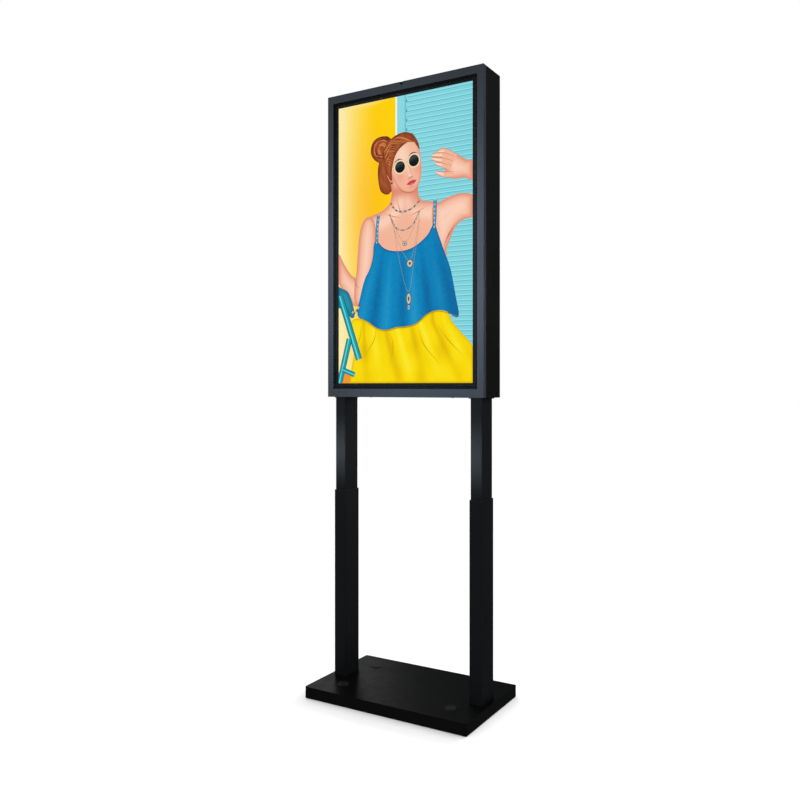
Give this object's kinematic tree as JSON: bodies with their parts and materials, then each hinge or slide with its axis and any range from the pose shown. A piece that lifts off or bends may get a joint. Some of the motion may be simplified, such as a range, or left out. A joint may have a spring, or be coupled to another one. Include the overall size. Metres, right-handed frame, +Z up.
{
  "type": "touchscreen kiosk",
  "caption": "Floor-standing portrait touchscreen kiosk: deep steel display case on twin telescoping columns over a low ballasted base, with a hinged rear service door.",
  "frame": {"origin": "on the floor, under the middle of the base", "axes": "+Z up along the height, -Y out of the screen towards the viewer, +X to the viewer's right"},
  "size_m": [0.607, 0.38, 2.067],
  "materials": {
    "mat_rubber": "matt, fine ribbed",
    "ballast_steel": "primed steel plate",
    "base_paint": "satin black powder coat",
    "column_paint": "satin blue-black powder coat",
    "case_paint": "satin black powder coat",
    "frame_paint": "satin slate grey powder coat",
    "zinc_steel": "bright zinc plate",
    "black_screws": "black oxide",
    "black_plastic": "fine textured moulding",
    "seal_rubber": "matt",
    "foam": "open-cell foam",
    "touch_glass": "polished, bonded touch film",
    "bezel_steel": "matt dark grey",
    "lcd_panel": "matt polariser, lit picture",
    "light_guide": "white acrylic",
    "tray_steel": "galvanised sheet",
    "cage_aluminium": "satin",
    "circuit_board": "solder resist",
    "sensor_window": "smoked lens",
    "fan_plastic": "moulded"
  },
  "bodies": {
    "base": {"anti_slip_mat": "mat_rubber", "ballast_plate": "ballast_steel", "base_cover": "base_paint", "anchor_sleeves": "zinc_steel", "anchor_caps": "black_plastic", "foot_bolts": "zinc_steel", "column_left_lower": "column_paint", "column_right_lower": "column_paint", "guide_bush_left": "black_plastic", "guide_bush_right": "black_plastic", "height_lock_screws": "black_screws", "inlet_panel": "zinc_steel", "power_inlet": "black_plastic", "rocker_housing": "black_plastic", "power_lead_base": "seal_rubber", "coiled_lead": "seal_rubber"},
    "rocker": {"rocker_switch": "black_plastic"},
    "lift": {"column_left_upper": "column_paint", "column_right_upper": "column_paint", "glide_shoe_left": "black_plastic", "glide_shoe_right": "black_plastic", "flange_bolts": "black_screws", "enclosure_shell": "case_paint", "case_floor": "case_paint", "front_frame": "frame_paint", "frame_screws": "black_screws", "glass_gasket": "seal_rubber", "touch_glass": "touch_glass", "glass_retainer": "bezel_steel", "lcd_bezel": "bezel_steel", "lcd_cell": "lcd_panel", "backlight_plate": "light_guide", "lcd_tray": "tray_steel", "panel_rails": "zinc_steel", "rail_screws": "black_screws", "panel_screws": "zinc_steel", "equipment_plate": "tray_steel", "media_player": "black_plastic", "power_supply": "cage_aluminium", "driver_board": "circuit_board", "touch_controller": "circuit_board", "power_lead_case": "seal_rubber", "signal_cables": "seal_rubber", "light_sensor": "sensor_window", "fan_frames": "fan_plastic", "fan_screws": "black_screws", "hinge_case_leaves": "zinc_steel", "hinge_pins": "zinc_steel", "lock_keepers": "zinc_steel"},
    "fan_left": {"fan_rotor_left": "fan_plastic"},
    "fan_right": {"fan_rotor_right": "fan_plastic"},
    "door": {"rear_door": "case_paint", "door_seal": "foam", "dust_filter": "foam", "hinge_door_leaves": "zinc_steel", "lock_housings": "zinc_steel"},
    "lock_upper": {"cam_lock_upper": "zinc_steel"},
    "lock_lower": {"cam_lock_lower": "zinc_steel"}
  },
  "joints": [
    {"name": "height_adjust", "type": "slide", "parent": "base", "child": "lift", "axis": [0, 0, 1], "range_m": [-0.29, 0.1], "deforming": ["coiled_lead"]},
    {"name": "door_hinge", "type": "hinge", "parent": "lift", "child": "door", "pos_m": [-0.2795, 0.0672, 1.5405], "axis": [0, 0, 1], "range_deg": [0, 110]},
    {"name": "lock_upper_turn", "type": "hinge", "parent": "door", "child": "lock_upper", "pos_m": [0.25, 0.056, 1.815], "axis": [0, 1, 0], "range_deg": [0, 90]},
    {"name": "lock_lower_turn", "type": "hinge", "parent": "door", "child": "lock_lower", "pos_m": [0.25, 0.056, 1.266], "axis": [0, 1, 0], "range_deg": [0, 90]},
    {"name": "fan_left_spin", "type": "hinge", "parent": "lift", "child": "fan_left", "pos_m": [-0.08, 0.019, 2.05], "axis": [0, 0, 1], "continuous": true},
    {"name": "fan_right_spin", "type": "hinge", "parent": "lift", "child": "fan_right", "pos_m": [0.08, 0.019, 2.05], "axis": [0, 0, 1], "continuous": true},
    {"name": "rocker_tilt", "type": "hinge", "parent": "base", "child": "rocker", "pos_m": [0.159, 0.1845, 0.019], "axis": [1, 0, 0], "range_deg": [-14, 0]}
  ]
}
